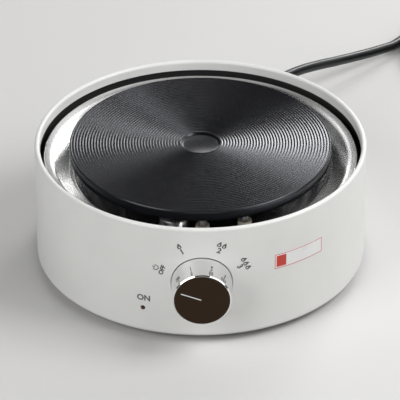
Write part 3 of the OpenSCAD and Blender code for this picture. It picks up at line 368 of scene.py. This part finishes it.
def turned(name, light, dark, roughness, spread, axis, rings, depth, metallic=1.0, **fixed):
    """Turned or spun finish: fine marks that run round an axis."""
    look = Look(name, light, roughness, metallic, **fixed)
    vector, _ = look.round_axis(axis)
    lines = look.noise(vector, rings, FINE_DETAIL, RING_MIX)
    patches = look.noise(look.place(), TURNED_PATCH)
    look.drive("Base Color", look.blend(lines, dark, light))
    look.drive("Roughness", look.ranged(patches, roughness - spread, roughness + spread))
    look.drive("Normal", look.bump(lines, depth))
    return look


def white_paint():
    """Satin white paint with faint orange peel; inside the shell, below the hem, the colour is
    near black as painted shade.
    """
    look = Look("white_paint", (0.80, 0.80, 0.78), 0.36, Coat_Weight=0.15, Coat_Roughness=0.2)
    place = look.place()
    patches = look.noise(place, PAINT_PATCH)
    peel = look.noise(place, PAINT_PEEL, FINE_DETAIL)
    x, y, z = look.split(place)
    # Painted shade: inside the inner wall, below the hem and outside the knob well, the paint
    # turns near black
    inside = look.math(
        "MULTIPLY", look.math("LESS_THAN", look.length(x, y), INSIDE_R * MM),
        look.math("LESS_THAN", z, HEM_Z * MM))
    in_well = look.math("LESS_THAN", y, WELL_Y * MM)
    outside = look.math("MAXIMUM", in_well, look.math("SUBTRACT", 1.0, inside))
    paint = look.blend(look.ranged(patches), PAINT_DARK, PAINT_LIGHT)
    look.drive("Base Color", look.blend(outside, PAINTED_SHADE_INSIDE, paint))
    look.drive("Roughness", look.ranged(patches, *PAINT_ROUGH))
    look.drive("Normal", look.bump(peel, PEEL_DEPTH))
    return look


def pale_floor():
    """Pale floor to the camera and in reflections, which throws less light on the object."""
    look = Look("floor_pale", (0.80, 0.795, 0.785), 0.85)
    path = look.add("ShaderNodeLightPath").outputs
    mirrored = look.math("MAXIMUM", path["Is Glossy Ray"], path["Is Transmission Ray"])
    shown = look.math("MAXIMUM", path["Is Camera Ray"], mirrored)
    patches = look.noise(look.place(), FLOOR_PATCH)
    pale = look.blend(patches, FLOOR_DARK, FLOOR_LIGHT)
    look.drive("Base Color", look.blend(shown, FLOOR_BOUNCE, pale))
    return look


def cast_plate():
    """Dark cast plate: turned rings, uneven heat tint and a fine sandy grain."""
    look = Look(
        "cast_plate", (0.0045, 0.0047, 0.0062), 0.245, Specular_IOR_Level=0.6,
        Specular_Tint=(0.88, 0.90, 1.0, 1.0))
    vector, distance = look.round_axis("Z")
    place = look.place()
    lines = look.noise(vector, PLATE_RINGS, FINE_DETAIL, RING_MIX)
    tint = look.noise(place, PLATE_TINT)
    sand = look.noise(place, PLATE_SAND, FINE_DETAIL)
    face = look.blend(look.ranged(tint), PLATE_DARK, PLATE_LIGHT)
    recess = look.math("LESS_THAN", distance, (RECESS_R - RECESS_DEPTH) * MM)
    look.drive("Base Color", look.blend(recess, face, PLATE_RECESS))
    look.drive("Roughness", look.ranged(tint, *PLATE_ROUGH))
    grain = look.bump(sand, PLATE_SAND_DEPTH)
    look.drive("Normal", look.bump(lines, PLATE_RING_DEPTH, under=grain))
    return look


def make_looks():
    """The record's material slots, each with its finish.

    Columns: light and dark colour, roughness and its spread, then grains to a metre (or the axis
    and rings to a metre) and their depth in millimetres.
    """
    metal = {"metallic": 1.0, "patch": METAL_PATCH}
    looks = [
        white_paint(),
        cast_plate(),
        turned(
            "polished_steel", (0.72, 0.72, 0.715), (0.67, 0.67, 0.665), 0.26, 0.015,
            "Z", 360.0, 0.0025),
        grained(
            "element_sheath", (0.32, 0.31, 0.31), (0.18, 0.17, 0.18), 0.45, 0.08, 900.0, 0.01,
            metallic=0.9),
        grained("ceramic", (0.80, 0.75, 0.60), (0.70, 0.64, 0.50), 0.6, 0.06, 1200.0, 0.01),
        grained(
            "ceramic_fibre", (0.85, 0.83, 0.76), (0.72, 0.70, 0.63), 0.95, 0.04, 700.0, 0.12),
        grained(
            "zinc_steel", (0.62, 0.63, 0.64), (0.50, 0.51, 0.53), 0.34, 0.08, 800.0, 0.006,
            **metal),
        grained(
            "cap_aluminium", (0.76, 0.76, 0.77), (0.62, 0.62, 0.63), 0.30, 0.06, 900.0, 0.004,
            **metal),
        grained("phenolic", (0.10, 0.06, 0.04), (0.07, 0.04, 0.03), 0.5, 0.08, 900.0, 0.01),
        grained(
            "brass", (0.80, 0.60, 0.27), (0.66, 0.47, 0.20), 0.28, 0.08, 700.0, 0.004, **metal),
        turned(
            "bright_cap", (0.86, 0.86, 0.86), (0.82, 0.82, 0.82), 0.05, 0.015,
            "Y", 1500.0, 0.0004),
        grained(
            "knob_plastic", (0.05, 0.05, 0.05), (0.035, 0.035, 0.036), 0.5, 0.08, 900.0, 0.01),
        # Knob face: the darkness is its own colour; the brown cast is a painted reflection of a
        # brown table in front of it
        turned(
            "dark_face", (0.033, 0.0185, 0.0083), (0.0255, 0.0143, 0.0065), 0.22, 0.03,
            "Y", 2400.0, 0.0015, metallic=0.0, Specular_IOR_Level=0.12),
        grained(
            "pointer_white", (0.86, 0.86, 0.83), (0.80, 0.80, 0.77), 0.4, 0.05, 1500.0, 0.004),
        grained(
            "lens_dark", (0.055, 0.018, 0.014), (0.035, 0.012, 0.010), 0.15, 0.04, 900.0, 0.002),
        grained("lamp_glass", (0.9, 0.75, 0.6), (0.8, 0.65, 0.5), 0.1, 0.03, 500.0, 0.002),
        grained("nylon", (0.78, 0.75, 0.66), (0.70, 0.67, 0.58), 0.5, 0.08, 700.0, 0.01),
        grained("wire_brown", (0.20, 0.08, 0.03), (0.15, 0.06, 0.02), 0.5, 0.08, 900.0, 0.01),
        grained("wire_blue", (0.03, 0.12, 0.45), (0.02, 0.09, 0.36), 0.5, 0.08, 900.0, 0.01),
        grained("wire_earth", (0.35, 0.50, 0.05), (0.28, 0.42, 0.04), 0.5, 0.08, 900.0, 0.01),
        grained("wire_red", (0.45, 0.03, 0.02), (0.36, 0.02, 0.02), 0.45, 0.08, 900.0, 0.01),
        grained(
            "cord_black", (0.0045, 0.0054, 0.0062), (0.0032, 0.0040, 0.0046), 0.33, 0.04,
            1500.0, 0.004, Specular_IOR_Level=0.55),
        grained(
            "foot_rubber", (0.022, 0.022, 0.022), (0.015, 0.015, 0.015), 0.75, 0.08, 900.0, 0.03),
        grained(
            "base_black", (0.050, 0.050, 0.052), (0.036, 0.036, 0.038), 0.45, 0.08, 700.0, 0.02),
        grained("tie_black", (0.03, 0.03, 0.03), (0.02, 0.02, 0.02), 0.8, 0.06, 1600.0, 0.05),
    ]
    return {look.name: look.material for look in looks}


def printed_ink(name, light, dark):
    return grained(name, light, dark, 0.5, 0.06, 2200.0, 0.004, patch=INK_PATCH).material


# Mesh helpers


def new_mesh(name, points, faces):
    mesh = bpy.data.meshes.new(name)
    mesh.from_pydata(points, [], faces)
    mesh.validate()
    return mesh


def turned_mesh(name, outline, sharp):
    """Closed outline of (radius, height) in millimetres, turned about the body's axis."""
    count = TURNED_SEGMENTS
    points, faces, rings = [], [], []
    for radius, height in outline:
        if not radius:
            rings.append([len(points)])
            points.append((0.0, 0.0, height * MM))
            continue
        rings.append(list(range(len(points), len(points) + count)))
        for i in range(count):
            turn = 2 * math.pi * i / count
            points.append(scaled((radius * math.cos(turn), radius * math.sin(turn), height)))
    for i, ring in enumerate(rings):
        after = rings[(i + 1) % len(rings)]
        if len(ring) == 1 and len(after) == 1:
            continue
        for j in range(count):
            k = (j + 1) % count
            if len(ring) == 1:
                faces.append((ring[0], after[k], after[j]))
            elif len(after) == 1:
                faces.append((ring[j], ring[k], after[0]))
            else:
                faces.append((ring[j], ring[k], after[k], after[j]))
    mesh = new_mesh(name, points, faces)
    for polygon in mesh.polygons:
        polygon.use_smooth = True
    mesh.set_sharp_from_angle(angle=math.radians(sharp))
    return mesh


def bend(a, b, c, radius, steps):
    """Points round the corner b, each with the normal there."""
    d1, d2 = (b - a).normalized(), (c - b).normalized()
    turn = math.atan2(d1.x * d2.y - d1.y * d2.x, d1.dot(d2))
    side = math.copysign(1.0, turn)
    normal = Vector((-d1.y, d1.x))
    middle = b - radius * math.tan(abs(turn) / 2) * d1 + side * radius * normal
    found = []
    for i in range(steps + 1):
        angle = turn * i / steps
        n = Vector((
            normal.x * math.cos(angle) - normal.y * math.sin(angle),
            normal.x * math.sin(angle) + normal.y * math.cos(angle)))
        found.append((middle - side * radius * n, n))
    return found


def sheet_outline(path, radii, thickness, steps):
    """Outline of a bent sheet along a centre line with rounded corners."""
    path = [Vector(p) for p in path]

    def end(point, toward):
        d = toward.normalized()
        return [(point, Vector((-d.y, d.x)))]

    line = end(path[0], path[1] - path[0])
    for i, radius in enumerate(radii):
        line += bend(path[i], path[i + 1], path[i + 2], radius, steps)
    line += end(path[-1], path[-1] - path[-2])
    return (
        [p + n * thickness / 2 for p, n in line]
        + [p - n * thickness / 2 for p, n in reversed(line)])


def filled(data):
    """Points and faces of a filled curve."""
    holder = add_object("filled", data)
    seen = holder.evaluated_get(bpy.context.evaluated_depsgraph_get())
    mesh = bpy.data.meshes.new_from_object(seen)
    flat = [tuple(v.co[:2]) for v in mesh.vertices]
    cells = [tuple(p.vertices) for p in mesh.polygons]
    bpy.data.objects.remove(holder)
    bpy.data.meshes.remove(mesh)
    bpy.data.curves.remove(data)
    return flat, cells


def flat_shape(outlines):
    """Points and faces of a filled flat shape; an outline inside another is a hole."""
    data = bpy.data.curves.new("flat", "CURVE")
    data.dimensions = "2D"
    data.fill_mode = "BOTH"
    for outline in outlines:
        spline = data.splines.new("POLY")
        spline.points.add(len(outline) - 1)
        for point, (x, y) in zip(spline.points, outline):
            point.co = (x, y, 0.0, 1.0)
        spline.use_cyclic_u = True
    return filled(data)


def lettering(text, size):
    data = bpy.data.curves.new("letters", "FONT")
    data.body = text
    data.size = size
    data.align_x = "CENTER"
    data.align_y = "CENTER"
    data.resolution_u = LETTER_STEPS
    data.offset = INK_WEIGHT
    return filled(data)


def strip(u0, u1, v0, v1, columns):
    """Flat rectangle in columns, so that it follows the wall's curve."""
    flat = []
    for i in range(columns + 1):
        u = u0 + (u1 - u0) * i / columns
        flat += [(u, v0), (u, v1)]
    return flat, [(2 * i, 2 * i + 2, 2 * i + 3, 2 * i + 1) for i in range(columns)]


def on_wall(u, v, out):
    """Point on the body's wall: u along it from the front, v up from the table, out from it."""
    bearing = u / BODY_R
    radius = BODY_R + out
    return scaled((radius * math.sin(bearing), -radius * math.cos(bearing), v))


def add_layer(points, faces, shape, place, low, high):
    """Adds a thin closed layer over a flat shape to points and faces."""
    flat, cells = shape
    start, count = len(points), len(flat)
    points += [place(x, y, high) for x, y in flat] + [place(x, y, low) for x, y in flat]
    edges = set()
    for cell in cells:
        faces.append(tuple(start + i for i in cell))
        faces.append(tuple(start + count + i for i in reversed(cell)))
        edges.update(zip(cell, cell[1:] + cell[:1]))
    for a, b in sorted(edges):
        if (b, a) not in edges:
            faces.append((start + b, start + a, start + count + a, start + count + b))


def add_print(name, points, faces, look):
    mesh = new_mesh(name, points, faces)
    mesh.materials.append(look)
    piece = add_object(name, mesh)
    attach(piece, BODY)
    return piece


# Turned pieces


def add_turned(name, outline, sharp, node, slot, looks):
    """A turned piece that stands for a node and takes its finish from a slot."""
    piece = add_object(name, turned_mesh(name, outline, sharp))
    piece.data.materials.append(looks[slot])
    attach(piece, BODY)
    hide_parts(node)


def drip_tray(looks):
    outline = sheet_outline(TRAY_PATH, TRAY_BENDS, TRAY_T, TRAY_BEND_STEPS)
    add_turned("tray_polished", outline, TRAY_SHARP, "drip_tray", "polished_steel", looks)


def groove_dip(share):
    """How deep a groove is, from 0 to 1, at a share of its width: a long fall, a short rise."""
    if share < GROOVE_LONG:
        turn = share / GROOVE_LONG
    else:
        turn = 1 + (share - GROOVE_LONG) / (1 - GROOVE_LONG)
    return 0.5 - 0.5 * math.cos(math.pi * turn)


def plate_outline():
    pitch = (PLATE_R - PLATE_CHAMFER - GROOVE_FROM) / GROOVE_COUNT
    outline = [(0.0, PLATE_Z - RECESS_DEPTH)]
    outline += [(RECESS_R - step, PLATE_Z - drop) for step, drop in RECESS_EDGE]
    for i in range(GROOVE_COUNT):
        for j in range(GROOVE_STEPS):
            share = j / GROOVE_STEPS
            outline.append((
                GROOVE_FROM + (i + share) * pitch, PLATE_Z - GROOVE_DEPTH * groove_dip(share)))
    outline += [(PLATE_R - step, PLATE_Z - drop) for step, drop in PLATE_EDGE]
    outline += [
        (PLATE_R, PLATE_SKIRT_Z + PLATE_SKIRT_EDGE), (PLATE_R - PLATE_SKIRT_EDGE, PLATE_SKIRT_Z),
        (PLATE_SKIRT_R, PLATE_SKIRT_Z), (PLATE_SKIRT_R, PLATE_WEB_Z)]
    rise = math.asin((PLATE_WEB_Z - ELEMENT_Z) / ELEMENT_SEAT_R)
    for i in range(ELEMENT_STEPS + 1):
        angle = rise + (math.pi - 2 * rise) * i / ELEMENT_STEPS
        outline.append((
            ELEMENT_R + ELEMENT_SEAT_R * math.cos(angle),
            ELEMENT_Z + ELEMENT_SEAT_R * math.sin(angle)))
    outline += [
        (PLATE_BOSS_R, PLATE_WEB_Z), (PLATE_BOSS_R, PLATE_BOSS_Z), (PLATE_BORE_R, PLATE_BOSS_Z),
        (PLATE_BORE_R, PLATE_WEB_Z), (0.0, PLATE_WEB_Z)]
    return outline


def heating_plate(looks):
    add_turned(
        "plate_turned", plate_outline(), PLATE_SHARP, "heating_plate", "cast_plate", looks)


# Cord


def coil_points():
    """Turns that wind inwards below, climb a layer at the middle and wind outwards above."""
    half = COIL_TURNS / 2
    found = []
    for i in range(int(COIL_RINGS * COIL_TURNS) + 1):
        t = i / COIL_RINGS
        r = COIL_R - COIL_STEP * (half - abs(t - half))
        climb = min(max((t - half) / COIL_CLIMB + 0.5, 0.0), 1.0)
        a = math.radians(90 - 360 * t)
        found.append((
            COIL_CENTRE[0] + r * math.cos(a), COIL_CENTRE[1] + r * math.sin(a),
            COIL_Z + COIL_STEP * (1 - math.cos(math.pi * climb)) / 2))
    return found


def smooth_line(points, spacing):
    """Points about a spacing apart on a smooth curve through the given points."""
    points = [Vector(p) for p in points]
    found = []
    for i in range(len(points) - 1):
        p1, p2 = points[i], points[i + 1]
        p0 = points[i - 1] if i else 2 * p1 - p2
        p3 = points[i + 2] if i + 2 < len(points) else 2 * p2 - p1
        length = (p2 - p1).length
        m1 = (p2 - p0) * length / ((p1 - p0).length + length)
        m2 = (p3 - p1) * length / ((p3 - p2).length + length)
        steps = max(1, round(length / spacing))
        for j in range(steps):
            t = j / steps
            found.append(
                (2 * t ** 3 - 3 * t ** 2 + 1) * p1 + (t ** 3 - 2 * t ** 2 + t) * m1
                + (3 * t ** 2 - 2 * t ** 3) * p2 + (t ** 3 - t ** 2) * m2)
    return found + [points[-1]]


def mains_cord(looks):
    route = LEAD_POINTS + coil_points() + TAIL_POINTS
    line = [p * MM for p in smooth_line(route, CORD_SPACING)]
    data = bpy.data.curves.new("mains_cord", "CURVE")
    data.dimensions = "3D"
    data.bevel_depth = CORD_D / 2 * MM
    data.bevel_resolution = CORD_ROUNDING
    data.use_fill_caps = True
    spline = data.splines.new("POLY")
    spline.points.add(len(line) - 1)
    for point, place in zip(spline.points, line):
        point.co = (*place, 1.0)
    spline.use_smooth = True
    cord = add_object("mains_cord", data)
    data.materials.append(looks["cord_black"])
    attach(cord, BODY)
    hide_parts("cord_lead", "cord_coil", "cord_tail")
    length = sum((b - a).length for a, b in zip(line, line[1:]))


# Dial marks and label


def flame_drop(width, height, base, lean):
    """A pointed drop, widest near its base, its tip leaning to one side."""
    found = []
    for i in range(FLAME_STEPS):
        a = 2 * math.pi * i / FLAME_STEPS
        up = 0.5 - 0.5 * math.cos(a)
        shrink = (1 - FLAME_TAPER * up) * (FLAME_BELLY - FLAME_FALL * up)
        wide = width / 2 * math.sin(a) * shrink
        found.append((wide + lean * up * up, base + height * up))
    return found


def power_outlines():
    """A broken ring with a bar in its gap."""
    gap = math.radians(POWER_GAP)
    turns = [
        math.pi / 2 + gap + (2 * math.pi - 2 * gap) * i / POWER_STEPS
        for i in range(POWER_STEPS + 1)]
    ring = [(POWER_OUTER * math.cos(a), POWER_OUTER * math.sin(a)) for a in turns]
    ring += [(POWER_INNER * math.cos(a), POWER_INNER * math.sin(a)) for a in reversed(turns)]
    return [ring, POWER_BAR]


def dial_place(radius, degrees, shift=0.0):
    """Maps a shape's own x and y to the wall round the knob, its top turned outwards."""
    angle = math.radians(degrees)
    up, right = (math.cos(angle), math.sin(angle)), (math.sin(angle), -math.cos(angle))

    def place(x, y, out):
        u = radius * up[0] + (x + shift) * right[0] + y * up[0]
        v = radius * up[1] + (x + shift) * right[1] + y * up[1]
        return on_wall(u, KNOB_Z + v, out)
    return place


def dial_marks(ink):
    points, faces = [], []

    def mark(shape, place):
        add_layer(points, faces, shape, place, INK_LOW, INK_HIGH)

    flame = flat_shape([flame_drop(*FLAME_OUTER), flame_drop(*FLAME_INNER)])
    power = flat_shape(power_outlines())
    for name, flames in DIAL_FLAMES.items():
        angle = DIAL_STEPS[name]
        for i in range(flames):
            mark(flame, dial_place(SIGN_R, angle, (i - (flames - 1) / 2) * FLAME_GAP))
        mark(lettering(str(flames), FIGURE_SIZE), dial_place(FIGURE_R, angle))
    mark(power, dial_place(SIGN_R, DIAL_STEPS["off"]))
    mark(lettering("OFF", OFF_SIZE), dial_place(FIGURE_R, DIAL_STEPS["off"]))
    on_u = math.radians(ON_BEARING) * BODY_R
    mark(lettering("ON", ON_SIZE), lambda x, y, out: on_wall(on_u + x, ON_Z + y, out))
    add_print("dial_marks", points, faces, ink)


def label_film(film_look, ink):
    middle = math.radians(LABEL_BEARING) * BODY_R

    def place(x, y, out):
        return on_wall(middle + x, LABEL_Z + y, out)

    w, h, f = LABEL_W / 2, LABEL_H / 2, FRAME_W
    points, faces = [], []
    add_layer(points, faces, strip(-w, w, -h, h, LABEL_COLUMNS), place, FILM_LOW, FILM_HIGH)
    add_print("label_film", points, faces, film_look)
    points, faces = [], []
    for shape in (
            strip(-w, w, -h, f - h, LABEL_COLUMNS), strip(-w, w, h - f, h, LABEL_COLUMNS),
            strip(-w, f - w, f - h, h - f, 1), strip(w - f, w, f - h, h - f, 1),
            strip(BLOCK_FROM - w, BLOCK_TO - w, BLOCK_EDGE - h, h - BLOCK_EDGE, BLOCK_COLUMNS)):
        add_layer(points, faces, shape, place, FRAME_LOW, FRAME_HIGH)
    add_print("label_frame", points, faces, ink)


# Scene

bpy.context.scene.view_settings.view_transform = "Standard"
add_camera()
materials = make_looks()
mains_cord(materials)

add_world(WORLD_LEVEL)
for softbox in SOFTBOXES:
    add_softbox(*softbox)
add_floor()

for part in frame["record"]["subparts"]:
    node = frame["nodes"][part["node"]]
    for socket in node.material_slots:
        socket.material = materials[part["material_slot"]]

heating_plate(materials)
drip_tray(materials)
dial_marks(printed_ink("ink_grey", (0.105, 0.105, 0.108), (0.080, 0.080, 0.083)))
label_white = grained(
    "label_white", (0.86, 0.86, 0.85), (0.83, 0.83, 0.82), 0.3, 0.04, 1500.0, 0.003)
label_film(
    label_white.material, printed_ink("ink_red", (0.60, 0.055, 0.040), (0.52, 0.045, 0.035)))
